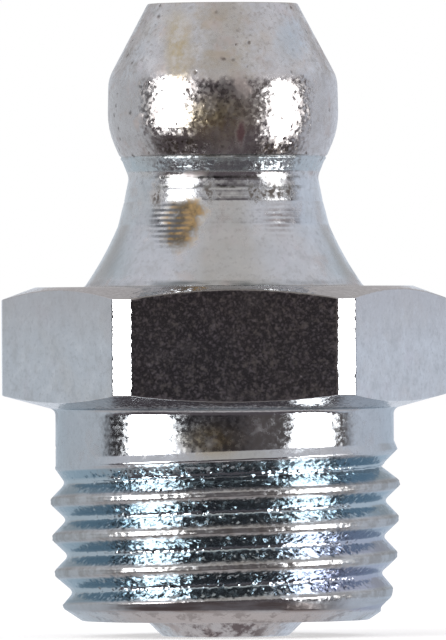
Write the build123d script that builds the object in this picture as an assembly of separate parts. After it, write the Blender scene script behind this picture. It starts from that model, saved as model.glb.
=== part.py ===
from build123d import *
import math
import os

# A straight hydraulic grease nipple. The body is turned from hexagon bar in one piece, with
# a coupler head above the hexagon and a short tapered shank with a fine thread below it.
# It holds a check ball and the spring that keeps the ball on its seat.
# Millimetres, +Z up. The origin is on the axis, where the plain neck of the shank meets the
# underside of the hexagon. The thread's crests are modelled as a plain tapered surface.

# Hexagon
HEX_ACROSS_FLATS = 11.0
HEX_HEIGHT = 3.4
HEX_CORNER_DIAMETER = 12.4
HEX_TOP_FLAT_DIAMETER = 10.5
HEX_TOP_CHAMFER_ANGLE = 20.0
HEX_UNDERSIDE_ANGLE = 15.0

# Coupler head, whose height is taken from the top of the hexagon
HEAD_HEIGHT = 7.86
HEAD_TOP_DIAMETER = 4.16
HEAD_CONE_ANGLE = 27.9
BELT_TOP_DIAMETER = 6.36
BELT_DIAMETER = 6.42
BELT_HEIGHT = 1.4
BELT_TOP_ROUNDING = 1.0
HEAD_UNDERSIDE_ANGLE = 23.5
HEAD_UNDERSIDE_ROUNDING = 2.2

# Waist below the head, and the flare from its knee out to the hexagon
WAIST_DIAMETER = 5.25
WAIST_ROUNDING = 0.6
KNEE_DIAMETER = 5.86
KNEE_HEIGHT = 1.7
FLARE_FOOT_DIAMETER = 7.76
FLARE_RADIUS = 9.0

# Shank: neck, first crest, tapered thread, lead-in and end chamfer
NECK_DIAMETER = 9.4
NECK_LENGTH = 1.45
FIRST_CREST_DIAMETER = 9.76
FIRST_CREST_RISE = 0.65
LAST_CREST_DIAMETER = 9.56
THREAD_LENGTH = 2.2
LEAD_DIAMETER = 9.12
LEAD_LENGTH = 1.05
SHANK_END_DIAMETER = 7.98
END_CHAMFER_LENGTH = 0.51

# Spigot below the shank, with its lip crimped inwards to carry the spring
SPIGOT_LENGTH = 0.44
SPIGOT_TOP_DIAMETER = 4.4
SPIGOT_FOOT_DIAMETER = 3.5
SPIGOT_ROUNDING = 0.15
LIP_THICKNESS = 0.24
OUTLET_DIAMETER = 1.8

# Check ball, and the conical seat that it closes
BALL_DIAMETER = 2.5
BALL_RECESS = 0.01
BORE_CLEARANCE = 0.2
SEAT_HALF_ANGLE = 30.0
SEAT_CLEARANCE = 0.02
SEAT_LAP = 0.08
INLET_CHAMFER = 0.1

# Spring, with a closed coil at each end of the active ones
WIRE_DIAMETER = 0.3
SPRING_DIAMETER = 2.5
WIRE_SIDES = 8
ACTIVE_COILS = 8
CLOSED_COIL_GAP = 0.02
SPRING_END_CLEARANCE = 0.02

# Heights along the axis
HEX_TOP = HEX_HEIGHT
HEAD_TOP = HEX_TOP + HEAD_HEIGHT
KNEE = HEX_TOP + KNEE_HEIGHT
FIRST_CREST = -NECK_LENGTH - FIRST_CREST_RISE
LAST_CREST = FIRST_CREST - THREAD_LENGTH
LEAD_END = LAST_CREST - LEAD_LENGTH
SHANK_END = LEAD_END - END_CHAMFER_LENGTH
FOOT = SHANK_END - SPIGOT_LENGTH
LIP_TOP = FOOT + LIP_THICKNESS
BALL_RADIUS = BALL_DIAMETER / 2
BALL_HEIGHT = HEAD_TOP - BALL_RECESS - BALL_RADIUS


def run(rise, angle):
    """Distance along the axis in which a surface at this angle to it moves out by rise."""
    return rise / math.tan(math.radians(angle))


def turned_outline():
    """Half section of the body as turned, before the hexagon's flats are counted."""
    hex_corner = HEX_CORNER_DIAMETER / 2
    hex_top_flat = HEX_TOP_FLAT_DIAMETER / 2
    neck = NECK_DIAMETER / 2
    hex_corner_top = HEX_TOP - run(hex_corner - hex_top_flat, 90 - HEX_TOP_CHAMFER_ANGLE)
    hex_corner_low = run(hex_corner - neck, 90 - HEX_UNDERSIDE_ANGLE)
    head_top = HEAD_TOP_DIAMETER / 2
    belt_top = BELT_TOP_DIAMETER / 2
    belt = BELT_DIAMETER / 2
    waist = WAIST_DIAMETER / 2
    belt_top_height = HEAD_TOP - run(belt_top - head_top, HEAD_CONE_ANGLE)
    belt_height = belt_top_height - BELT_HEIGHT
    waist_height = belt_height - run(belt - waist, HEAD_UNDERSIDE_ANGLE)
    knee = (KNEE_DIAMETER / 2, KNEE)
    flare_foot = (FLARE_FOOT_DIAMETER / 2, HEX_TOP)
    spigot_foot = SPIGOT_FOOT_DIAMETER / 2

    with BuildSketch(Plane.XZ) as outline:
        with BuildLine():
            Polyline(
                (0, FOOT),
                (0, HEAD_TOP),
                (head_top, HEAD_TOP),
                (belt_top, belt_top_height),
                (belt, belt_height),
                (waist, waist_height),
                knee,
            )
            RadiusArc(knee, flare_foot, FLARE_RADIUS)
            Polyline(
                flare_foot,
                (hex_top_flat, HEX_TOP),
                (hex_corner, hex_corner_top),
                (hex_corner, hex_corner_low),
                (neck, 0),
                (neck, -NECK_LENGTH),
                (FIRST_CREST_DIAMETER / 2, FIRST_CREST),
                (LAST_CREST_DIAMETER / 2, LAST_CREST),
                (LEAD_DIAMETER / 2, LEAD_END),
                (SHANK_END_DIAMETER / 2, SHANK_END),
                (SPIGOT_TOP_DIAMETER / 2, SHANK_END),
                (spigot_foot, FOOT),
                (0, FOOT),
            )
        make_face()
        for radius, height, rounding in (
            (belt_top, belt_top_height, BELT_TOP_ROUNDING),
            (belt, belt_height, HEAD_UNDERSIDE_ROUNDING),
            (waist, waist_height, WAIST_ROUNDING),
            (spigot_foot, FOOT, SPIGOT_ROUNDING),
        ):
            corner = outline.vertices().sort_by_distance((radius, height))[0]
            fillet(corner, rounding)
    return outline.sketch


def bore_outline():
    """Half section of the grease's way: outlet, spring chamber, ball seat and inlet."""
    seat_angle = math.radians(SEAT_HALF_ANGLE)
    seat_reach = BALL_RADIUS + SEAT_CLEARANCE
    seat_radius = seat_reach * math.cos(seat_angle)
    seat_height = BALL_HEIGHT + seat_reach * math.sin(seat_angle)
    bore = BALL_RADIUS + BORE_CLEARANCE
    inlet = seat_radius - SEAT_LAP
    outlet = OUTLET_DIAMETER / 2

    with BuildSketch(Plane.XZ) as outline:
        with BuildLine():
            Polyline(
                (0, FOOT),
                (outlet, FOOT),
                (outlet, LIP_TOP),
                (bore, LIP_TOP),
                (bore, seat_height - run(bore - seat_radius, SEAT_HALF_ANGLE)),
                (inlet, seat_height + run(SEAT_LAP, SEAT_HALF_ANGLE)),
                (inlet, HEAD_TOP - INLET_CHAMFER),
                (inlet + INLET_CHAMFER, HEAD_TOP),
                (0, HEAD_TOP),
                close=True,
            )
        make_face()
    return outline.sketch


def nipple_body():
    """Hexagon bar, turned to the outline and bored from the foot."""
    with BuildPart() as body:
        with BuildSketch(Plane.XY.offset(FOOT)):
            RegularPolygon(HEX_ACROSS_FLATS / 2, 6, major_radius=False)
        extrude(amount=HEAD_TOP - FOOT)
        add(turned_outline())
        revolve(axis=Axis.Z, mode=Mode.INTERSECT)
        add(bore_outline())
        revolve(axis=Axis.Z, mode=Mode.SUBTRACT)
    return body.part


def check_ball():
    return Pos(0, 0, BALL_HEIGHT) * Sphere(BALL_RADIUS)


def valve_spring():
    """Wire spring between the lip and the ball, which sinks a little into its top coil."""
    mean_radius = (SPRING_DIAMETER - WIRE_DIAMETER) / 2
    wire_radius = WIRE_DIAMETER / 2
    ball_to_wire = BALL_RADIUS + wire_radius + SPRING_END_CLEARANCE
    low_end = LIP_TOP + SPRING_END_CLEARANCE + wire_radius
    high_end = BALL_HEIGHT - math.sqrt(ball_to_wire**2 - mean_radius**2)
    closed_pitch = WIRE_DIAMETER + CLOSED_COIL_GAP
    active_height = high_end - low_end - 2 * closed_pitch
    low_coil = Edge.make_helix(closed_pitch, closed_pitch, mean_radius)
    active_coils = Edge.make_helix(active_height / ACTIVE_COILS, active_height, mean_radius)
    path = Wire(
        [
            Pos(0, 0, low_end) * low_coil,
            Pos(0, 0, low_end + closed_pitch) * active_coils,
            Pos(0, 0, high_end - closed_pitch) * Rot(0, 0, 360 * ACTIVE_COILS) * low_coil,
        ]
    )
    # Flat sides, as wide across as the wire, stand for its round section.
    with BuildSketch(Plane.XZ) as section:
        with Locations((mean_radius, low_end)):
            RegularPolygon(wire_radius, WIRE_SIDES, major_radius=False, rotation=180 / WIRE_SIDES)
    return sweep(section.sketch, path=path, is_frenet=True)


os.makedirs("parts", exist_ok=True)
export_step(nipple_body(), "parts/nipple_body.step")
export_step(check_ball(), "parts/check_ball.step")
export_step(valve_spring(), "parts/valve_spring.step")
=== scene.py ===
"""Looks of the grease nipple: its body with the rolled thread, its spring, ball and studio."""

import math

import bpy
import numpy as np
from mathutils import Matrix, Vector


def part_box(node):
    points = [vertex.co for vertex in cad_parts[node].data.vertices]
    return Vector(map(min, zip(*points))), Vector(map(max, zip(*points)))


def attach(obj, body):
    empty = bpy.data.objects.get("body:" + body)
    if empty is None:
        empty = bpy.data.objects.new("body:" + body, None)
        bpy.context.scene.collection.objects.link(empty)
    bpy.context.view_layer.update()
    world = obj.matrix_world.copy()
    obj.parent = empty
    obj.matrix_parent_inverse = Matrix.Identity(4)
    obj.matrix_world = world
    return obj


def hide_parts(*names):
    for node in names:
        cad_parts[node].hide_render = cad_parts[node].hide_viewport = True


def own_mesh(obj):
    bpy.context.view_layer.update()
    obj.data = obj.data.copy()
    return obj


MM = 0.001
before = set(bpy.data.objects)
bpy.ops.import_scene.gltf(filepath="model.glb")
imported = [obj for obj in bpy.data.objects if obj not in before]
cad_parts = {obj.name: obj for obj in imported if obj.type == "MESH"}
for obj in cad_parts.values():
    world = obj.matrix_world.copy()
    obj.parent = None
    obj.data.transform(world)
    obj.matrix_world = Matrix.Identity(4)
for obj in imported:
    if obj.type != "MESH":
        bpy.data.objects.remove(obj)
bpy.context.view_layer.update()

# Shape, in millimetres. Heights are above the hexagon's underside. A pair is a radius and a height.
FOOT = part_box("nipple_body")[0].z / MM
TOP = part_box("nipple_body")[1].z / MM
FLAT = 5.5
CORNER = 6.18
CORNER_ROUNDING = 0.2
HEX_TOP = 3.4
HEX_TOP_FLAT = 5.25
HEX_TOP_ANGLE = math.radians(20)
HEX_LOW_ANGLE = math.radians(15)
HEX_EDGE_ROUNDING = 0.05
HEAD_TOP = 2.08
BELT_TOP = (3.18, 9.183)
BELT = (3.21, 7.783)
WAIST = (2.625, 6.438)
KNEE = (2.93, 5.1)
FLARE_FOOT = (3.88, 3.4)
FLARE_RADIUS = 9.0
FLARE_FILLET = 0.12
NECK = 4.7
NECK_FILLET = 0.2
SHANK_END = -5.86
SHANK_END_RADIUS = 3.99
CHAMFER_SLOPE = 1.5
SPIGOT_TOP = 2.2
SPIGOT_FOOT = 1.75
LIP_TOP = -6.06
OUTLET = 0.9
BORE = 1.45

# Check ball, its conical seat and the inlet above it
BALL = 1.25
BALL_HEIGHT = 10.0
CLEARANCE = 0.02
SEAT_ANGLE = math.radians(30)
SEAT = (BALL + CLEARANCE) * math.cos(SEAT_ANGLE)
SEAT_HEIGHT = BALL_HEIGHT + (BALL + CLEARANCE) * math.sin(SEAT_ANGLE)
SEAT_LAP = 0.08
INLET = SEAT - SEAT_LAP
INLET_CHAMFER = 0.1

# Thread: right-hand, rolled, on a taper; each crest has two lips with a shallow furrow between
PITCH = 1.0
FIRST_GROOVE = -1.55
CREST_HEIGHTS = (-5.35, -4.4, -2.1, FIRST_GROOVE)
CREST_RADII = (4.6, 4.77, 4.87, NECK)
CREST_HALF_WIDTH = 0.13
CREST_SHOULDER = 0.06
LIP_FROM_TIP = 0.06
FURROW_DEPTH = 0.012
ROOT_HALF_WIDTH = 0.1
FIRST_RIDGE_RISE = 0.1
FIRST_RIDGE_WIDTH = 0.24
LEAD_TOP = -5.2
LEAD_TOP_RADIUS = 4.62
LEAD_SLOPE = 0.4
THREAD_TOP = -0.8
ROW_STEP = 0.03
# Heights between which the groove grows out of the neck, the first ridge fades, worn crests
# begin, and the groove runs out over the lead-in
GROWTH = (-1.0, FIRST_GROOVE)
RIDGE_FADE = (-2.03, -1.9)
WORN_CRESTS = (-1.4, -2.0)
RUN_OUT = (-5.3, -6.1)
# How much of the grooves' film the run-out has, and the names of the shares kept in the mesh
RUN_OUT_FILM = 0.15
THREAD_SHARES = ("thread_groove", "thread_crest")

# Marks on the front: centre x and z, half width and half height
CRUSTS = ((-1.15, 5.5, 0.65, 0.4), (-1.25, 5.15, 0.6, 0.6), (-1.4, 4.8, 0.5, 0.5))
SCORES = (-1.66, 5.2, 0.52, 0.85)
FAINT_SCORES = (1.4, 5.25, 0.5, 0.55)
SCORE_PITCH = 0.145
SMEARS_AND_SHADE = (
    (0.72, 6.0, 0.3, 0.35),
    (1.68, 6.05, 0.3, 0.35),
    (-0.55, 6.05, 0.22, 0.35),
    (1.25, 5.98, 0.6, 0.28),
    (-1.95, 5.9, 0.2, 0.5),
    # Painted shade under the belt, beneath its highlights
    (-1.3, 7.3, 1.0, 0.35),
    (1.3, 7.2, 0.9, 0.3),
)
BROWN_FILMS = ((-1.35, 9.95, 0.45, 1.4), (-0.55, -0.8, 0.95, 0.55), (-0.4, 8.0, 1.2, 0.8))
MOTTLES = (-0.3, 10.2, 1.5, 1.1)
BLUE_FILM = (1.75, 10.2, 0.5, 0.7)
ROSE_STAIN = (0.33, 7.6, 0.16, 0.45)

# Zones of a height, each edge given from outside to inside
BELT_ZONE = ((6.9, 7.1), (9.5, 9.0))
BAND_ZONE = ((6.55, 6.62), (7.04, 6.98))
FLARE_ZONE = ((3.4, 3.8), (6.6, 6.0))
FLARE_CORNER_ZONE = ((3.38, 3.44), (3.6, 3.5))
HEX_TOP_ZONE = ((1.4, 3.2), (3.45, 3.35))
HEX_SIDE_ZONE = ((0.08, 0.15), (3.39, 3.36))
LEAD_ZONE = ((-5.22, -5.3), (-5.62, -5.54))
CHAMFER_ZONE = ((-5.5, -5.62), (-5.95, -5.88))
# Painted shade in dark lines round the waist, along its creases and fine turned lines: height and half
# width
CREASE_SHADES = ((7.0, 0.06), (6.42, 0.05), (6.15, 0.06))

# Scales of the finest noises, in spots to the metre, and how far a pit's outline wanders, in
# millimetres
GRAIN_SCALE = 8500
WAVE_SCALE = 9000
SPARK_SCALE = 5200
PIT_SCALE = 2500
PIT_EDGE_SCALE = 5200
PIT_WANDER = 0.18

# Colours of the plating, in linear red, green and blue: first its own, then those of its zones
ZINC = (0.53, 0.54, 0.56)
WARM_ZINC = (0.56, 0.55, 0.55)
TAN_PATCH = (0.54, 0.49, 0.43)
PINK_PATCH = (0.57, 0.48, 0.51)
LIGHT_BLOTCH = (0.64, 0.64, 0.65)
DARK_BLOTCH = (0.42, 0.41, 0.40)
DARK_SPECK = (0.33, 0.31, 0.30)
TAN_HAZE = (0.50, 0.40, 0.36)
PIT = (0.15, 0.13, 0.12)
BELT_FILM = (0.47, 0.44, 0.43)
BAND_FILM = (0.42, 0.49, 0.52)
COOL_FILM = (0.53, 0.57, 0.61)
FLARE_SIDE_FILM = (0.41, 0.47, 0.49)
# Warmer, darker tone towards the top of the hexagon
HEX_TOP_TONE = (0.465, 0.445, 0.445)
# Painted shade on the rounded edges of the hexagon's front and back
HEX_EDGE_SHADE = (0.13, 0.125, 0.125)
THREAD_FILM = (0.42, 0.45, 0.48)
LIGHT_CREST = (0.47, 0.48, 0.49)
DARK_CREST = (0.35, 0.345, 0.34)
# Paler film at the front of the grooves: a painted highlight
FRONT_FLANK_PAINTED_HIGHLIGHT = (0.345, 0.41, 0.445)
SIDE_FLANK = (0.285, 0.385, 0.45)
VIOLET_FLANK = (0.39, 0.41, 0.50)
GROOVE_ROOT = (0.43, 0.50, 0.54)
THREAD_REFLECTION = (0.78, 0.83, 0.86, 1.0)
CHAMFER_ZINC = (0.565, 0.55, 0.55)

# Colours of the marks, the dirt and the painted shade
BROWN = (0.455, 0.385, 0.25)
MOTTLED_BROWN = (0.47, 0.42, 0.35)
BLUE = (0.46, 0.52, 0.57)
LIGHT_CRUST = (0.28, 0.175, 0.06)
DARK_CRUST = (0.07, 0.045, 0.015)
# Dark brown of the smears, and of the painted shade under the belt
SMEAR_AND_SHADE = (0.06, 0.045, 0.035)
ROSE = (0.125, 0.075, 0.078)
SCORE = (0.08, 0.085, 0.095)
FAINT_SCORE = (0.20, 0.16, 0.15)
# Painted shade in the lines round the waist
CREASE_SHADE = (0.13, 0.13, 0.125)
RUBBED = (0.22, 0.17, 0.15)
CHAMFER_DIRT = (0.26, 0.24, 0.235)
SPIGOT_DIRT = (0.17, 0.15, 0.16)
# Painted shade in the corner at the flare's foot
CORNER_SHADE = (0.15, 0.17, 0.18)

# Spring
WIRE = 0.15
COIL = 1.1
CLOSED_PITCH = 0.32
ACTIVE_COILS = 8
SPRING_LOW = LIP_TOP + CLEARANCE + WIRE
SPRING_HIGH = BALL_HEIGHT - math.sqrt((BALL + WIRE + CLEARANCE) ** 2 - COIL**2)

# Studio: its floor's half width, in metres, and the colours of its dark front and light rest
FLOOR_SIZE = 2.0
FLOOR_PAPER = (0.8, 0.8, 0.8, 1.0)
DARK_LEFT = (0.032, 0.028, 0.03)
DARK_RIGHT = (0.13, 0.11, 0.105)
DARK_OFF_LEVEL = (0.14, 0.117, 0.127)
LIGHT_LEFT = (0.72, 0.76, 0.81)
LIGHT_RIGHT = (0.80, 0.85, 0.95)
LIGHT_ABOVE = (0.70, 0.66, 0.625)
LIGHT_ABOVE_SIDES = (0.84, 0.83, 0.87)
LIGHT_HIGH_REAR = (0.60, 0.58, 0.585)
LIGHT_BELOW = (0.71, 0.655, 0.65)
WHITE = (1.0, 1.0, 1.0)

# Camera, level with the middle of the nipple: its distance in millimetres, and the picture's
# scale in pixels to the millimetre and height in pixels
DISTANCE = 370.0
SCALE = 36.0
PICTURE_HEIGHT = 640
AIM = Vector((-0.03, 0, 2.472)) * MM
TURN = math.radians(-3.0)
ROLL = math.radians(-0.3)


def unit(x, y):
    length = math.hypot(x, y)
    return x / length, y / length


def rounding(before, corner, after, radius, degrees=7.0):
    """Points of the arc that rounds a corner between two other points."""
    ax, ay = unit(before[0] - corner[0], before[1] - corner[1])
    bx, by = unit(after[0] - corner[0], after[1] - corner[1])
    half = math.acos(max(-1.0, min(1.0, ax * bx + ay * by))) / 2
    mx, my = unit(ax + bx, ay + by)
    cx = corner[0] + mx * radius / math.sin(half)
    cy = corner[1] + my * radius / math.sin(half)
    reach = radius / math.tan(half)
    start = math.atan2(corner[1] + ay * reach - cy, corner[0] + ax * reach - cx)
    end = math.atan2(corner[1] + by * reach - cy, corner[0] + bx * reach - cx)
    turn = (end - start + math.pi) % (2 * math.pi) - math.pi
    steps = max(3, math.ceil(abs(math.degrees(turn)) / degrees))
    angles = [start + turn * i / steps for i in range(steps + 1)]
    return [(cx + radius * math.cos(a), cy + radius * math.sin(a)) for a in angles]


def subdivide(points, longest=0.3, support=0.03):
    """The same outline, with long runs cut up and held flat close to their ends."""
    result = [points[0]]
    for (ax, ay), (bx, by) in zip(points, points[1:]):
        length = math.hypot(bx - ax, by - ay)
        cuts = [1.0]
        if length > 6 * support:
            middle = length - 2 * support
            count = max(1, math.ceil(middle / longest))
            cuts = [(support + middle * i / count) / length for i in range(count + 1)] + [1.0]
        result += [(ax + (bx - ax) * t, ay + (by - ay) * t) for t in cuts]
    return result


def outline(corners):
    """Half outline through (radius, height, rounding) corners."""
    points = []
    for i, (r, z, size) in enumerate(corners):
        if size:
            points += rounding(corners[i - 1], (r, z), corners[i + 1], size)
        else:
            points.append((r, z))
    return points


def flare(steps=16):
    """Points of the hollow arc from the knee to the hexagon."""
    (ax, ay), (bx, by) = KNEE, FLARE_FOOT
    chord = math.hypot(bx - ax, by - ay)
    rise = math.sqrt(FLARE_RADIUS**2 - chord**2 / 4)
    cx = (ax + bx) / 2 + (ay - by) / chord * rise
    cy = (ay + by) / 2 + (bx - ax) / chord * rise
    start = math.atan2(ay - cy, ax - cx) % (2 * math.pi)
    end = math.atan2(by - cy, bx - cx) % (2 * math.pi)
    angles = [start + (end - start) * i / steps for i in range(steps + 1)]
    return [(cx + FLARE_RADIUS * math.cos(a), cy + FLARE_RADIUS * math.sin(a)) for a in angles]


def hexagon_columns(flat_steps=24, corner_steps=5):
    """Angles around the body and the hexagon's radius at each, with its corners rounded. From a
    side's flat the columns go over a small rounding, the turned land of the corner and the
    rounding before the next side."""
    reach = math.sqrt((CORNER - CORNER_ROUNDING) ** 2 - (FLAT - CORNER_ROUNDING) ** 2)
    swing = math.atan2(reach, FLAT - CORNER_ROUNDING)
    local = [(FLAT, reach * (2 * i / flat_steps - 1)) for i in range(flat_steps)]
    for i in range(corner_steps + 1):
        a = swing * i / corner_steps
        x = FLAT - CORNER_ROUNDING * (1 - math.cos(a))
        local.append((x, reach + CORNER_ROUNDING * math.sin(a)))
    land = 2 * (math.pi / 6 - swing)
    for i in range(1, corner_steps):
        a = swing + land * i / corner_steps
        local.append((CORNER * math.cos(a), CORNER * math.sin(a)))
    for i in range(corner_steps):
        a = swing * (1 - i / corner_steps)
        x = FLAT - CORNER_ROUNDING * (1 - math.cos(a))
        y = -reach - CORNER_ROUNDING * math.sin(a)
        turned = complex(x, y) * complex(math.cos(math.pi / 3), math.sin(math.pi / 3))
        local.append((turned.real, turned.imag))
    angles, radii = [], []
    for k in range(6):
        for x, y in local:
            angles.append(math.atan2(y, x) + math.radians(30 + 60 * k))
            radii.append(math.hypot(x, y))
    return np.array(angles), np.array(radii)


def smooth_step(low, high, x):
    """From 0 at one level of x to 1 at another, level at both ends."""
    t = np.clip((x - low) / (high - low), 0, 1)
    return t * t * (3 - 2 * t)


def taper(z):
    """Radius over the thread's crests."""
    return np.interp(z, CREST_HEIGHTS, CREST_RADII)


def thread_radius(angle, z):
    """Radius of the rolled thread at an angle from +X and a height, and the shares of groove
    and of crest there. The flanks stand square to each other."""
    start = FIRST_GROOVE + PITCH * angle / (2 * math.pi)
    centre = start + np.round((z - start) / PITCH) * PITCH
    away = np.abs(z - centre)
    crest_edge = PITCH / 2 - CREST_HALF_WIDTH
    flank = crest_edge - ROOT_HALF_WIDTH
    sag = ROOT_HALF_WIDTH / 2
    depth = CREST_SHOULDER + flank + sag
    in_root = np.minimum(away / ROOT_HALF_WIDTH, 1)
    vee = depth - sag * in_root**2 - np.maximum(away - ROOT_HALF_WIDTH, 0)
    lip_places = [0, LIP_FROM_TIP, CREST_HALF_WIDTH]
    lips = np.interp(PITCH / 2 - away, lip_places, [FURROW_DEPTH, 0, CREST_SHOULDER])
    cut = np.where(away < crest_edge, vee, lips)

    # The form of the first groove grows out of the neck, with a ridge in front above it
    def begin(centre):
        return smooth_step(*GROWTH, centre)

    below = np.where(z < centre, centre - PITCH, centre)
    first = begin(below) * (1 - begin(below + PITCH))
    cut = cut + (vee - cut) * first * (z > centre)
    top = crest_edge + CREST_SHOULDER
    ridge = np.interp(z - below, [top, top + FIRST_RIDGE_WIDTH], [1, 0]) * first
    ridge = ridge * smooth_step(*RIDGE_FADE, below)
    # The last one runs out over the lead-in
    runs_out = (centre < RUN_OUT[0]) & (z < centre)
    cut = np.where(runs_out, depth, cut)
    fade = 1 - begin(centre) * (1 - smooth_step(*RUN_OUT, centre))
    cut = np.maximum(cut - fade * depth, 0)
    radius = taper(z) - cut + FIRST_RIDGE_RISE * ridge

    chamfer = SHANK_END_RADIUS + (z - SHANK_END) * CHAMFER_SLOPE
    lead = LEAD_TOP_RADIUS + (z - LEAD_TOP) * LEAD_SLOPE
    limit = np.minimum(chamfer, np.where(z < LEAD_TOP, lead, chamfer))
    on_thread = smooth_step(0.03, -0.01, radius - limit)
    crest = smooth_step(crest_edge - 0.03, crest_edge + 0.02, away) * on_thread
    tip = centre + np.sign(z - centre) * PITCH / 2
    crest = crest * smooth_step(*WORN_CRESTS, tip)
    groove = np.clip((cut - CREST_SHOULDER) / (depth - CREST_SHOULDER), 0, 1)
    groove = groove * on_thread * np.where(runs_out, RUN_OUT_FILM, 1)
    return np.minimum(radius, limit), groove, crest


def hex_rows(angles, radii):
    """Rows over the hexagon: top face, chamfer, sides and underside."""
    rows = []
    top_edge = HEX_TOP - np.maximum(radii - HEX_TOP_FLAT, 0) * math.tan(HEX_TOP_ANGLE)
    low_edge = (radii - NECK) * math.tan(HEX_LOW_ANGLE)
    inner = FLARE_FOOT[0] + FLARE_FILLET
    for t in (0.0, 0.25, 0.5, 0.75, 0.96, 1.0):
        r = inner + (HEX_TOP_FLAT - inner) * t
        rows.append((np.full_like(radii, r), np.full_like(radii, HEX_TOP)))
    edge = rounding(
        (-math.cos(HEX_TOP_ANGLE), math.sin(HEX_TOP_ANGLE)), (0, 0), (0, -1), HEX_EDGE_ROUNDING, 12
    )
    first_r, first_z = radii + edge[0][0], top_edge + edge[0][1]
    for t in (0.15, 0.5, 0.85):
        r = HEX_TOP_FLAT + (first_r - HEX_TOP_FLAT) * t
        rows.append((r, HEX_TOP + (first_z - HEX_TOP) * t))
    rows += [(radii + r, top_edge + z) for r, z in edge]
    low = rounding(
        (0, 1), (0, 0), (-math.cos(HEX_LOW_ANGLE), -math.sin(HEX_LOW_ANGLE)), HEX_EDGE_ROUNDING, 12
    )
    high_z, last_z = rows[-1][1], low_edge + low[0][1]
    for t in (0.02, 0.2, 0.4, 0.6, 0.8, 0.98):
        rows.append((radii, high_z + (last_z - high_z) * t))
    rows += [(radii + r, low_edge + z) for r, z in low]
    start_r, start_z = rows[-1]
    for t in (0.05, 0.35, 0.65, 0.85):
        r = start_r + (NECK + NECK_FILLET - start_r) * t
        rows.append((r, start_z + (NECK_FILLET * math.tan(HEX_LOW_ANGLE) - start_z) * t))
    return rows


def head_points():
    """Outline from the inlet over the head and the waist to the hexagon's top face."""
    head = outline(
        [
            (INLET, TOP - INLET_CHAMFER, 0),
            (INLET + INLET_CHAMFER, TOP, 0.03),
            (HEAD_TOP, TOP, 0.07),
            (*BELT_TOP, 1.0),
            (*BELT, 2.2),
            # Step in to a recessed band
            (2.891, 7.05, 0.02),
            (2.838, 7.01, 0.01),
            (2.854, 6.95, 0.01),
            (2.8, 6.88, 0.03),
            (*WAIST, 0.4),
            # Two fine turned lines
            (2.6815, 6.16, 0),
            (2.682, 6.135, 0),
            (2.693, 6.11, 0),
            (2.7525, 5.8, 0),
            (2.751, 5.765, 0),
            (2.768, 5.73, 0),
            (2.83, 5.5, 8),
            (*KNEE, 0.5),
            (3.03, 4.86, 0),
        ]
    )[:-1]
    curve = [p for p in flare() if p[1] < head[-1][1] - 0.05][:-1]
    foot = rounding(curve[-1], FLARE_FOOT, (HEX_TOP_FLAT, HEX_TOP), FLARE_FILLET)
    return subdivide(head + curve + foot)


def spigot_points():
    """Outline from the shank's end face round the spigot."""
    low = outline(
        [
            (3.9, SHANK_END, 0),
            (SPIGOT_TOP, SHANK_END, 0.08),
            (SPIGOT_FOOT, FOOT, 0.15),
            (OUTLET, FOOT, 0.06),
            (OUTLET, LIP_TOP, 0.03),
            (BORE, LIP_TOP, 0),
        ]
    )[:-1]
    return subdivide(low, 0.4)


def bore_points():
    """Outline up the spring chamber and over the seat to the inlet."""
    return [
        (BORE, LIP_TOP),
        (BORE, SEAT_HEIGHT - (BORE - SEAT) / math.tan(SEAT_ANGLE)),
        (INLET, SEAT_HEIGHT + SEAT_LAP / math.tan(SEAT_ANGLE)),
        (INLET, TOP - 1.5 * INLET_CHAMFER),
    ]


def body_mesh():
    """Rows of points around the axis, closed on themselves. Each row has a zone, the number of its
    material: 0 turned, 1 drawn and 2 rolled."""
    angles, radii = hexagon_columns()
    even = np.ones_like(angles)
    rows = []
    zones = []
    thread = {}

    def add(points, zone):
        for r, z in points:
            rows.append((even * r, even * z))
            zones.append(zone)

    add(head_points(), 0)
    for r, z in hex_rows(angles, radii):
        rows.append((r, z))
        zones.append(1)
    underside = (NECK + 1, math.tan(HEX_LOW_ANGLE))
    add(rounding(underside, (NECK, 0), (NECK, -1), NECK_FILLET), 2)
    add([(NECK, -0.3), (NECK, -0.5), (NECK, -0.7)], 2)
    for z in np.arange(THREAD_TOP, SHANK_END + 0.05, -ROW_STEP):
        radius, *thread[len(rows)] = thread_radius(angles, even * z)
        rows.append((radius, even * z))
        zones.append(2)
    above_end = (SHANK_END_RADIUS + 0.1 * CHAMFER_SLOPE, SHANK_END + 0.1)
    add(rounding(above_end, (SHANK_END_RADIUS, SHANK_END), (SPIGOT_TOP, SHANK_END), 0.06), 0)
    add(spigot_points(), 0)
    add(bore_points(), 0)

    count = len(angles)
    points = np.empty((len(rows), count, 3))
    for i, (r, z) in enumerate(rows):
        points[i, :, 0] = r * np.cos(angles)
        points[i, :, 1] = r * np.sin(angles)
        points[i, :, 2] = z
    faces, slots = [], []
    for i in range(len(rows)):
        a, b = i * count, (i + 1) % len(rows) * count
        for j in range(count):
            k = (j + 1) % count
            faces.append((a + j, b + j, b + k, a + k))
            slots.append(zones[i])
    mesh = bpy.data.meshes.new("nipple_body_surface")
    mesh.from_pydata([tuple(p) for p in points.reshape(-1, 3) * MM], [], faces)
    mesh.polygons.foreach_set("material_index", slots)
    mesh.polygons.foreach_set("use_smooth", [True] * len(faces))
    for k, name in enumerate(THREAD_SHARES):
        shares = [thread[i][k] if i in thread else even * 0 for i in range(len(rows))]
        values = np.concatenate(shares).astype(np.float32)
        mesh.attributes.new(name, "FLOAT", "POINT").data.foreach_set("value", values)
    mesh.update()
    return mesh


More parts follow.
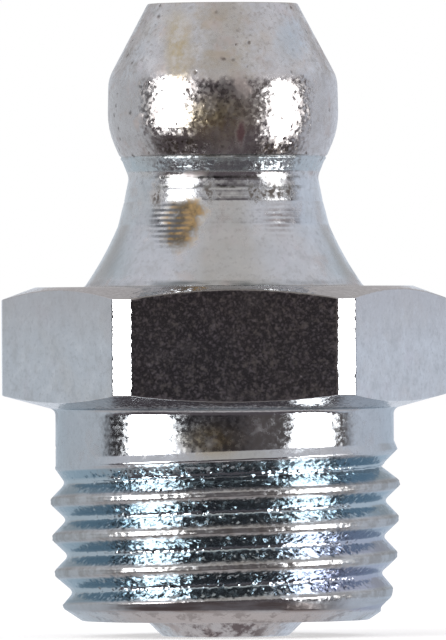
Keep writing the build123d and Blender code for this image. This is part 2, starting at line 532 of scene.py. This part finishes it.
def spring_mesh(around=12, per_turn=40):
    """Round wire along the closed and active coils."""
    active = (SPRING_HIGH - SPRING_LOW - 2 * CLOSED_PITCH) / ACTIVE_COILS
    pitches = [CLOSED_PITCH] + [active] * ACTIVE_COILS + [CLOSED_PITCH]
    rings = []
    z = SPRING_LOW
    for pitch in pitches:
        for i in range(per_turn):
            a = 2 * math.pi * i / per_turn
            rings.append((a, z + pitch * i / per_turn))
        z += pitch
    rings.append((0.0, z))
    verts, faces = [], []
    for a, z in rings:
        for j in range(around):
            b = 2 * math.pi * j / around
            r = COIL + WIRE * math.cos(b)
            verts.append((r * math.cos(a) * MM, r * math.sin(a) * MM, (z + WIRE * math.sin(b)) * MM))
    for i in range(len(rings) - 1):
        for j in range(around):
            k = (j + 1) % around
            faces.append((i * around + j, i * around + k, (i + 1) * around + k, (i + 1) * around + j))
    faces.append(tuple(reversed(range(around))))
    faces.append(tuple((len(rings) - 1) * around + j for j in range(around)))
    mesh = bpy.data.meshes.new("valve_spring_wire")
    mesh.from_pydata(verts, [], faces)
    mesh.polygons.foreach_set("use_smooth", [True] * len(faces))
    mesh.update()
    return mesh


class Graph:
    """Short calls for a node tree. A value is a number, a colour or the output of a node."""

    def __init__(self, tree):
        self.tree = tree
        tree.nodes.clear()

    def node(self, kind, **settings):
        made = self.tree.nodes.new(kind)
        for name, value in settings.items():
            setattr(made, name, value)
        return made

    def join(self, source, target):
        self.tree.links.new(source, target)

    def feed(self, socket, value):
        if hasattr(value, "links"):
            self.join(value, socket)
        elif socket.type == "RGBA":
            socket.default_value = (*value, 1.0)
        else:
            socket.default_value = value

    def math(self, operation, *values):
        made = self.node("ShaderNodeMath", operation=operation)
        for socket, value in zip(made.inputs, values):
            self.feed(socket, value)
        return made.outputs[0]

    def times(self, first, *others):
        for other in others:
            first = self.math("MULTIPLY", first, other)
        return first

    def away(self, value, centre=0.0):
        """How far a value is from a centre, to either side."""
        if centre:
            value = self.math("SUBTRACT", value, centre)
        return self.math("ABSOLUTE", value)

    def step(self, low, high, value, to_low=0.0, to_high=1.0):
        """A smooth step from one level to another while a value goes from low to high."""
        made = self.node("ShaderNodeMapRange", interpolation_type="SMOOTHSTEP")
        for socket, v in zip(made.inputs, (value, low, high, to_low, to_high)):
            self.feed(socket, v)
        return made.outputs[0]

    def zone(self, value, one_edge, other_edge, share=1.0):
        """A share inside a zone of a value. Its edges are given from outside to inside."""
        return self.times(self.step(*one_edge, value), self.step(*other_edge, value, 0.0, share))

    def mix(self, amount, a, b):
        """Mix of two colours, or of two numbers where b is a plain number."""
        number = isinstance(b, float)
        made = self.node("ShaderNodeMix", data_type="FLOAT" if number else "RGBA")
        self.feed(made.inputs[0], amount)
        self.feed(made.inputs[2 if number else 6], a)
        self.feed(made.inputs[3 if number else 7], b)
        return made.outputs[0 if number else 2]

    def noise(self, where, scale, detail=2.0, roughness=0.5, stretch=(1, 1, 1), shift=(0, 0, 0)):
        place = self.node("ShaderNodeMapping")
        place.inputs["Scale"].default_value = stretch
        place.inputs["Location"].default_value = shift
        self.join(where, place.inputs["Vector"])
        made = self.node("ShaderNodeTexNoise")
        made.inputs["Scale"].default_value = scale
        made.inputs["Detail"].default_value = detail
        made.inputs["Roughness"].default_value = roughness
        self.join(place.outputs[0], made.inputs["Vector"])
        return made.outputs["Fac"]

    def scatter(self, where, *layers):
        """The surface's normal, tipped to random sides in spots. Each layer is a scale and how
        far it tips."""
        normal = self.node("ShaderNodeNewGeometry").outputs["Normal"]
        for scale, amount in layers:
            spots = self.node("ShaderNodeTexNoise")
            spots.inputs["Scale"].default_value = scale
            spots.inputs["Detail"].default_value = 1.0
            self.join(where, spots.inputs["Vector"])
            centred = self.node("ShaderNodeVectorMath", operation="SUBTRACT")
            self.join(spots.outputs["Color"], centred.inputs[0])
            centred.inputs[1].default_value = (0.5, 0.5, 0.5)
            scaled = self.node("ShaderNodeVectorMath", operation="SCALE")
            self.join(centred.outputs[0], scaled.inputs[0])
            self.feed(scaled.inputs["Scale"], amount)
            tipped = self.node("ShaderNodeVectorMath", operation="ADD")
            self.join(normal, tipped.inputs[0])
            self.join(scaled.outputs[0], tipped.inputs[1])
            normal = tipped.outputs[0]
        even = self.node("ShaderNodeVectorMath", operation="NORMALIZE")
        self.join(normal, even.inputs[0])
        return even.outputs[0]

    def finish(self, shader):
        end = self.node("ShaderNodeOutputMaterial")
        self.join(shader.outputs[0], end.inputs[0])


class Plating(Graph):
    """Zinc plating, whose colour and roughness are built up in layers. What the layers share is
    the point's place in millimetres, and noises of three sizes: patch, blotch and speck."""

    def __init__(self, tree):
        super().__init__(tree)
        self.where = self.node("ShaderNodeTexCoord").outputs["Object"]
        axes = self.node("ShaderNodeSeparateXYZ")
        self.join(self.where, axes.inputs[0])
        self.x, self.y, self.z = (self.times(axis, 1 / MM) for axis in axes.outputs)
        self.aside = self.away(self.x)
        self.on_flare = self.zone(self.z, *FLARE_ZONE)
        self.patch = self.noise(self.where, 620, 3, 0.6, shift=(0.3, 0.1, 0.7))
        self.blotch = self.noise(self.where, 2100, 4, 0.7, shift=(0.2, 0.8, 0.4))
        self.speck = self.noise(self.where, 8000, 2, 0.6, shift=(0.9, 0.2, 0.5))

    def tint(self, share, colour):
        """Move the colour so far towards another."""
        self.colour = self.mix(share, self.colour, colour)

    def roughen(self, share, roughness):
        """Move the roughness so far towards another."""
        self.roughness = self.mix(share, self.roughness, roughness)

    def marks(self, *places):
        """Soft blotches on the front, from 0 outside them to 1 at their middles. A place is a
        centre x and z, a half width and a half height."""
        ragged = self.times(self.math("SUBTRACT", self.blotch, 0.5), 1.6)
        found = 0.0
        for centre_x, centre_z, wide, tall in places:
            across = self.math("DIVIDE", self.math("SUBTRACT", self.x, centre_x), wide)
            up = self.math("DIVIDE", self.math("SUBTRACT", self.z, centre_z), tall)
            square = self.math("ADD", self.math("POWER", across, 2.0), self.math("POWER", up, 2.0))
            spread = self.math("ADD", self.math("SQRT", square), ragged)
            found = self.math("MAXIMUM", found, self.step(1.2, 0.3, spread))
        return self.times(found, self.step(0.0, -1.0, self.y))

    def film(self):
        """The plating's own film, of uneven tint, and how it differs from zone to zone."""
        cloud = self.noise(self.where, 260, 3, 0.6)
        self.colour = self.mix(self.step(0.35, 0.65, cloud), ZINC, WARM_ZINC)
        self.tint(self.step(0.48, 0.7, self.patch, 0.0, 0.5), TAN_PATCH)
        pink = self.noise(self.where, 900, 2, 0.5, shift=(1.7, 0.4, 0.2))
        self.tint(self.step(0.55, 0.75, pink, 0.0, 0.35), PINK_PATCH)
        uneven = self.step(0.5, 2.5, self.aside, 0.5, 1.0)
        self.tint(self.step(0.5, 0.33, self.blotch, 0.0, uneven), LIGHT_BLOTCH)
        self.tint(self.step(0.5, 0.67, self.blotch, 0.0, uneven), DARK_BLOTCH)
        self.tint(self.step(0.53, 0.68, self.speck, 0.0, 0.5), DARK_SPECK)
        self.tint(self.zone(self.z, *BELT_ZONE, 0.6), BELT_FILM)
        self.tint(self.step(6.6, 6.3, self.z, 0.0, 0.45), COOL_FILM)
        rim = self.times(self.step(2.4, 3.2, self.aside, 0.0, 0.6), self.on_flare)
        self.tint(rim, FLARE_SIDE_FILM)

    def gloss(self, rough, haze):
        """Roughness of the film, and hazy spots, of which some are tan."""
        self.roughness = self.times(
            self.step(0.3, 0.7, self.patch, rough * 0.8, rough * 1.2),
            self.step(6.2, 6.9, self.z, 0.75, 1.0),
        )
        haze = self.times(self.math("SUBTRACT", 1.0, self.times(self.on_flare, 0.45)), haze)
        self.roughen(self.times(self.step(0.35, 0.72, self.speck), haze), 0.42)
        tan = self.noise(self.where, 1300, 3, 0.6, shift=(0.6, 1.3, 0.9))
        tan = self.times(self.step(0.52, 0.7, tan), haze)
        self.roughen(tan, 0.55)
        self.tint(self.times(tan, 0.5), TAN_HAZE)

    def thread_film(self, groove, crest):
        """Worn crests, and a blue film in the grooves, which is violet at the lower right and paler at
        the front, a painted highlight that makes the lamps' reflections in them whiter.
        """
        self.tint(0.5, THREAD_FILM)
        self.tint(crest, self.mix(self.step(0.4, 0.6, self.blotch), LIGHT_CREST, DARK_CREST))
        violet = self.times(self.step(0.5, 3.0, self.x), self.step(-2.6, -4.2, self.z))
        # Paler film in front: a painted highlight where the lamps reflect in the grooves
        film = self.mix(self.step(2.5, 3.4, self.aside), FRONT_FLANK_PAINTED_HIGHLIGHT, SIDE_FLANK)
        film = self.mix(self.step(0.75, 1.0, groove), film, GROOVE_ROOT)
        film = self.mix(violet, film, VIOLET_FLANK)
        self.tint(self.step(0.02, 0.25, groove, 0.0, 0.92), film)
        self.roughen(crest, 0.34)
        self.roughen(self.step(0.0, 0.2, groove), 0.16)

    def stains(self):
        """Brown, mottled and blue stains in the film."""
        brown = self.marks(*BROWN_FILMS)
        self.tint(self.times(brown, self.step(0.35, 0.6, self.blotch, 0.35, 0.95)), BROWN)
        self.roughen(self.times(brown, 0.35), 0.42)
        mottle = self.noise(self.where, 1100, 3, 0.6, shift=(0.4, 0.2, 1.1))
        mottle = self.step(0.48, 0.62, mottle, 0.0, 0.7)
        self.tint(self.times(mottle, self.marks(MOTTLES)), MOTTLED_BROWN)
        self.tint(self.times(self.marks(BLUE_FILM), 0.6), BLUE)

    def dirt(self):
        """A crust, smears at the waist, painted shade under the belt and a reddish spot. The result is
        how far they hide the metal.
        """
        crust = self.marks(*CRUSTS)
        brown = self.mix(self.step(0.32, 0.55, self.blotch), LIGHT_CRUST, DARK_CRUST)
        self.tint(self.times(crust, 0.92), brown)
        # Smears at the waist, and painted shade under the belt
        smear_and_shade = self.times(self.marks(*SMEARS_AND_SHADE), self.step(0.45, 0.55, self.speck, 0.3, 0.9))
        self.tint(smear_and_shade, SMEAR_AND_SHADE)
        rose = self.marks(ROSE_STAIN)
        self.tint(rose, ROSE)
        hidden = self.math("MAXIMUM", crust, self.times(smear_and_shade, self.step(6.7, 6.4, self.z, 0.0, 0.9)))
        self.roughen(hidden, 0.6)
        return self.math("MAXIMUM", hidden, self.times(rose, 0.5))

    def scores(self):
        """Dark turned lines across the crust, and faint ones at the right."""
        bend = self.times(self.blotch, 3.0)
        wave = self.math("ADD", self.times(self.z, 2 * math.pi / SCORE_PITCH), bend)
        line = self.step(-1.0, 0.8, self.math("SINE", wave), 0.0, 0.95)
        self.tint(self.times(line, self.marks(SCORES)), SCORE)
        faint = self.step(0.4, 0.6, self.blotch, 0.25, 0.8)
        self.tint(self.times(line, faint, self.marks(FAINT_SCORES)), FAINT_SCORE)

    def lead_in(self):
        """Rubbed lead-in below the thread, and the chamfer under it with its dirt."""
        lead = self.zone(self.z, *LEAD_ZONE)
        self.roughen(lead, 0.3)
        rub = self.noise(self.where, 1500, 3, 0.6, stretch=(0.3, 0.3, 3), shift=(0.2, 0.6, 0.3))
        rub = self.times(self.step(0.4, 0.6, rub, 0.0, 0.7), lead)
        rub = self.times(rub, self.step(3.3, 2.3, self.away(self.x, -0.4), 0.2, 1.0))
        self.tint(rub, RUBBED)
        chamfer = self.zone(self.z, *CHAMFER_ZONE)
        self.tint(self.times(chamfer, 0.85), CHAMFER_ZINC)
        self.tint(self.times(chamfer, self.step(0.5, 0.62, self.blotch, 0.0, 0.6)), CHAMFER_DIRT)

    def waist_band(self):
        """Dull film on the recessed band above the waist, and painted shade in dark lines round the
        waist, in front. The result is the film's share."""
        band = self.zone(self.z, *BAND_ZONE)
        band = self.times(band, self.step(0.3, 0.6, self.blotch, 1.0, 0.6))
        self.tint(self.times(band, 0.85), BAND_FILM)
        self.roughen(band, 0.24)
        middle = self.step(2.3, 1.7, self.aside)
        middle = self.times(middle, self.step(0.4, 0.55, self.blotch, 0.9, 0.3))
        # Painted shade along the creases and fine lines round the waist, in front only
        for height, half in CREASE_SHADES:
            crease_shade = self.step(half, half * 0.4, self.away(self.z, height))
            self.tint(self.times(crease_shade, middle), CREASE_SHADE)
        return band

    def hexagon_film_and_edge_shade(self):
        """Warmer, darker colour towards the top of the hexagon, and painted shade along the rounded top
        and bottom edges of its front and back, which dims the lamps' reflection there."""
        self.tint(self.zone(self.z, *HEX_TOP_ZONE, 0.6), HEX_TOP_TONE)
        normal = self.node("ShaderNodeSeparateXYZ")
        self.join(self.node("ShaderNodeNewGeometry").outputs["Normal"], normal.inputs[0])
        # Painted shade on the rounded edges in front and behind, which dims the lamps' reflection
        edge = self.times(
            self.zone(self.away(normal.outputs[2]), (0.06, 0.2), (0.94, 0.85)),
            self.zone(self.z, *HEX_SIDE_ZONE),
            self.step(3.0, 2.6, self.aside, 0.0, 0.65),
        )
        self.tint(edge, HEX_EDGE_SHADE)

    def spigot_dirt_and_corner_shade(self):
        """Dirt on the spigot, and painted shade in the corner where the flare meets the hexagon."""
        spigot = self.times(
            self.step(-5.8, -5.95, self.z),
            self.step(0.45, 0.6, self.blotch),
            self.step(1.6, 0.6, self.away(self.x, -0.1), 0.3, 1.0),
        )
        self.tint(spigot, SPIGOT_DIRT)
        # Painted shade in dark streaks in the corner between the flare and the hexagon
        streak = self.noise(self.where, 420, 3, 0.6, stretch=(1, 1, 6))
        corner = self.times(
            self.zone(self.z, *FLARE_CORNER_ZONE),
            self.step(0.42, 0.6, streak, 0.15, 0.85),
            self.step(2.3, 1.0, self.away(self.x, -0.3), 0.4, 1.0),
        )
        self.tint(corner, CORNER_SHADE)

    def pits(self):
        """Share of small pits of uneven outline, fainter below the head."""
        shake = self.node("ShaderNodeTexNoise")
        shake.inputs["Scale"].default_value = PIT_EDGE_SCALE
        self.join(self.where, shake.inputs["Vector"])
        wobble = self.node("ShaderNodeVectorMath", operation="MULTIPLY_ADD")
        self.join(shake.outputs["Color"], wobble.inputs[0])
        wobble.inputs[1].default_value = (PIT_WANDER * MM,) * 3
        self.join(self.where, wobble.inputs[2])
        cells = self.node("ShaderNodeTexVoronoi")
        cells.inputs["Scale"].default_value = PIT_SCALE
        self.join(wobble.outputs[0], cells.inputs["Vector"])
        chosen = self.node("ShaderNodeSeparateColor")
        self.join(cells.outputs["Color"], chosen.inputs[0])
        size = self.step(0.0, 1.0, chosen.outputs[1], 0.1, 0.26)
        inside = self.step(1.0, 0.2, self.math("DIVIDE", cells.outputs["Distance"], size))
        pit = self.times(inside, self.step(0.4, 0.45, chosen.outputs[0]))
        return self.times(pit, self.step(6.0, 7.0, self.z, 0.25, 1.0))


def plated_steel(name, rings, grain, sparks, waves, pits, rough, haze, threaded=False):
    """Zinc-plated steel. The size of the rings is a height in millimetres; that of the grain and
    of the broader waves is how far they tip light, and in the sparks the grain is so many times
    larger. pits and haze are shares, and rough is the film's roughness."""
    material = bpy.data.materials.new(name)
    material.use_nodes = True
    g = Plating(material.node_tree)
    g.film()
    g.gloss(rough, haze)
    if threaded:
        groove, crest = (
            g.node("ShaderNodeAttribute", attribute_name=share).outputs["Fac"] for share in THREAD_SHARES
        )
        g.thread_film(groove, crest)
    g.stains()
    coat = g.dirt()
    g.scores()
    g.lead_in()
    band = g.waist_band()
    g.hexagon_film_and_edge_shade()
    g.spigot_dirt_and_corner_shade()
    pit = g.pits()
    g.tint(g.times(pit, pits * 0.8), PIT)

    # Turned rings, tallest on the recessed band, and the pits' depth
    ring = g.noise(g.where, 1000, 2, 0.6, stretch=(0.02, 0.02, 6.0))
    ringed = g.math("ADD", g.times(g.on_flare, 0.8), g.times(band, 6.0))
    height = g.times(ring, g.math("ADD", ringed, 0.2), rings)
    height = g.math("SUBTRACT", height, g.times(pit, pits * 0.01))
    bump = g.node("ShaderNodeBump")
    bump.inputs["Strength"].default_value = 1.0
    bump.inputs["Distance"].default_value = MM
    g.join(height, bump.inputs["Height"])

    # Grain that tips the normal, further in the sparks
    spark = g.noise(g.where, SPARK_SCALE, 1, 0.5, shift=(0.5, 0.9, 0.1))
    spark = g.step(0.53 if threaded else 0.56, 0.68, spark, 1.0, sparks)
    if threaded:
        extra = g.times(g.math("SUBTRACT", spark, 1.0), g.step(0.0, 0.3, groove))
        spark = g.math("ADD", 1.0, extra)
        tip = g.step(0.0, 0.4, groove, grain * 0.3, grain * 1.45)
        tip = g.mix(g.step(0.8, 0.95, groove), tip, grain * 1.8)
        tip = g.mix(crest, tip, grain * 1.5)
        tip = g.times(tip, g.step(3.9, 2.9, g.aside, 0.35, 1.0))
    else:
        tip = g.step(6.0, 7.2, g.z, grain * 0.2, grain)
        tip = g.math("ADD", tip, g.times(band, grain))
    wave = g.step(3.38, 3.3, g.z, waves * 0.15, waves)
    normal = g.scatter(g.where, (GRAIN_SCALE, g.times(tip, spark)), (WAVE_SCALE, wave))
    g.join(normal, bump.inputs["Normal"])

    # Bare plating is metal, and a coat of dirt isn't
    shader = g.node("ShaderNodeBsdfPrincipled")
    bare = g.math("SUBTRACT", 1.0, coat)
    g.join(bare, shader.inputs["Metallic"])
    g.join(g.times(bare, 0.5), shader.inputs["Specular IOR Level"])
    g.join(g.colour, shader.inputs["Base Color"])
    g.join(g.roughness, shader.inputs["Roughness"])
    if threaded:
        shader.inputs["Specular Tint"].default_value = THREAD_REFLECTION
    g.join(bump.outputs[0], shader.inputs["Normal"])
    g.finish(shader)
    return material


def plain_steel(name, colour, rough, marks):
    """Bright steel with faint marks, for the ball and the wire."""
    material = bpy.data.materials.new(name)
    material.use_nodes = True
    g = Graph(material.node_tree)
    where = g.node("ShaderNodeTexCoord").outputs["Object"]
    cloud = g.noise(where, 1800, 3, 0.6)
    scratch = g.noise(where, 6000, 3, 0.6, stretch=marks)
    darker = tuple(c * 0.8 for c in colour)
    shader = g.node("ShaderNodeBsdfPrincipled")
    shader.inputs["Metallic"].default_value = 1.0
    g.join(g.mix(g.step(0.35, 0.65, cloud), colour, darker), shader.inputs["Base Color"])
    g.join(g.step(0.3, 0.7, scratch, rough * 0.7, rough * 1.4), shader.inputs["Roughness"])
    bump = g.node("ShaderNodeBump")
    bump.inputs["Strength"].default_value = 0.5
    bump.inputs["Distance"].default_value = 0.004 * MM
    g.join(scratch, bump.inputs["Height"])
    g.join(bump.outputs[0], shader.inputs["Normal"])
    g.finish(shader)
    return material


def piece(name, mesh, materials, body, node):
    """A visible piece that rides a body and stands for one of its CAD nodes."""
    obj = bpy.data.objects.new(name, mesh)
    bpy.context.scene.collection.objects.link(obj)
    for material in materials:
        mesh.materials.append(material)
    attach(obj, body)
    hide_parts(node)
    return obj


def studio_floor():
    """Pale paper under the foot, which shows lighter to the camera and in no reflection."""
    size = FLOOR_SIZE
    z = FOOT * MM
    corners = [(-size, -size, z), (size, -size, z), (size, size, z), (-size, size, z)]
    mesh = bpy.data.meshes.new("studio_floor")
    mesh.from_pydata(corners, [], [(0, 1, 2, 3)])
    obj = bpy.data.objects.new("studio_floor", mesh)
    bpy.context.scene.collection.objects.link(obj)
    obj.visible_glossy = False
    material = bpy.data.materials.new("studio_floor_paper")
    material.use_nodes = True
    g = Graph(material.node_tree)
    paper = g.node("ShaderNodeBsdfDiffuse")
    paper.inputs["Color"].default_value = FLOOR_PAPER
    glow = g.node("ShaderNodeEmission")
    to_camera = g.node("ShaderNodeLightPath").outputs["Is Camera Ray"]
    g.join(g.times(to_camera, 0.45), glow.inputs["Strength"])
    both = g.node("ShaderNodeAddShader")
    g.join(paper.outputs[0], both.inputs[0])
    g.join(glow.outputs[0], both.inputs[1])
    g.finish(both)
    mesh.materials.append(material)


def lamp(name, shape, azimuth, width, low, high, power, distance=0.3):
    """A soft lamp around the object, given by its angles in degrees; azimuth 0 is the front."""
    low, high = (distance * math.tan(math.radians(v)) for v in (low, high))
    height = (low + high) / 2
    data = bpy.data.lights.new(name, "AREA")
    data.shape = shape
    data.size = 2 * distance * math.tan(math.radians(width) / 2)
    data.size_y = high - low
    data.energy = power
    obj = bpy.data.objects.new(name, data)
    a = math.radians(azimuth)
    obj.location = (distance * math.sin(a), -distance * math.cos(a), height)
    aim = Vector((0, 0, height)) - obj.location
    obj.rotation_euler = aim.to_track_quat("-Z", "Y").to_euler()
    obj.visible_camera = False
    bpy.context.scene.collection.objects.link(obj)


def studio_world():
    """Surroundings that are dark in front and light behind, above and below, and white to the
    camera."""
    made = bpy.data.worlds.new("studio_world")
    bpy.context.scene.world = made
    made.use_nodes = True
    g = Graph(made.node_tree)
    toward = g.node("ShaderNodeSeparateXYZ")
    g.join(g.node("ShaderNodeTexCoord").outputs["Generated"], toward.inputs[0])
    x, y, z = toward.outputs
    behind = g.step(-0.08, 0.14, y)
    above = g.math("ADD", g.step(0.28, 0.35, z, 0.0, 0.5), g.step(0.36, 0.42, z, 0.0, 0.5))
    below = g.step(-0.78, -0.9, z)
    level = g.math("MAXIMUM", g.math("MAXIMUM", behind, above), below)
    dark = g.mix(g.step(0.05, 0.3, x), DARK_LEFT, DARK_RIGHT)
    dark = g.mix(g.step(0.0, 0.3, g.away(z)), dark, DARK_OFF_LEVEL)
    light = g.mix(g.step(-0.5, 0.5, x), LIGHT_LEFT, LIGHT_RIGHT)
    top = g.mix(g.step(0.2, 0.6, g.away(x)), LIGHT_ABOVE, LIGHT_ABOVE_SIDES)
    light = g.mix(g.math("MAXIMUM", g.step(0.3, 0.7, z), g.step(0.05, -0.1, y)), light, top)
    high_rear = g.times(g.step(0.55, 0.8, y), g.step(0.1, 0.3, z))
    light = g.mix(high_rear, light, LIGHT_HIGH_REAR)
    light = g.mix(g.step(-0.5, -0.8, z), light, LIGHT_BELOW)
    colour = g.mix(level, dark, light)
    to_camera = g.node("ShaderNodeLightPath").outputs["Is Camera Ray"]
    shade = g.node("ShaderNodeBackground")
    g.join(g.mix(to_camera, colour, WHITE), shade.inputs["Color"])
    end = g.node("ShaderNodeOutputWorld")
    g.join(shade.outputs[0], end.inputs[0])


def camera():
    data = bpy.data.cameras.new("camera")
    data.sensor_fit = "VERTICAL"
    data.angle = 2 * math.atan(PICTURE_HEIGHT / SCALE / 2 / DISTANCE)
    data.clip_start = 0.01
    data.clip_end = 10
    obj = bpy.data.objects.new("camera", data)
    bpy.context.scene.collection.objects.link(obj)
    obj.location = AIM + Vector((math.sin(TURN), -math.cos(TURN), 0)) * DISTANCE * MM
    facing = (AIM - obj.location).to_track_quat("-Z", "Y").to_matrix()
    obj.rotation_euler = (facing @ Matrix.Rotation(ROLL, 3, "Z")).to_euler()
    bpy.context.scene.camera = obj


# The body, the spring that shortens under the ball, and the ball itself
turned = plated_steel(
    "zinc_plate_turned", rings=0.006, grain=0.3, sparks=1.5, waves=0.3, pits=1.0, rough=0.17, haze=0.8
)
drawn = plated_steel(
    "zinc_plate_drawn", rings=0.0, grain=0.3, sparks=2.5, waves=0.4, pits=0.2, rough=0.13, haze=0.15
)
rolled = plated_steel(
    "zinc_plate_rolled",
    rings=0.0,
    grain=0.4,
    sparks=4.6,
    waves=0.05,
    pits=0.4,
    rough=0.14,
    haze=0.5,
    threaded=True,
)
plates = (turned, drawn, rolled)
piece("nipple_body_plated", body_mesh(), plates, "nipple", "nipple_body")

wire = plain_steel("spring_wire_steel", (0.45, 0.45, 0.46), 0.3, (1, 1, 1))
spring = piece("valve_spring_wire", spring_mesh(), (wire,), "nipple", "valve_spring")
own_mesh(spring)

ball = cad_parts["check_ball"]
ball.data.materials.clear()
ball.data.materials.append(plain_steel("ball_steel_ground", (0.68, 0.68, 0.7), 0.12, (1, 1, 0.3)))

# Studio
studio_floor()
studio_world()
lamp("left_softbox", "RECTANGLE", azimuth=-55.5, width=30.0, low=-18, high=23.0, power=1.2)
lamp("right_softbox", "ELLIPSE", azimuth=60.5, width=30.0, low=-34, high=17.5, power=1.2)
camera()
bpy.context.scene.view_settings.view_transform = "Standard"
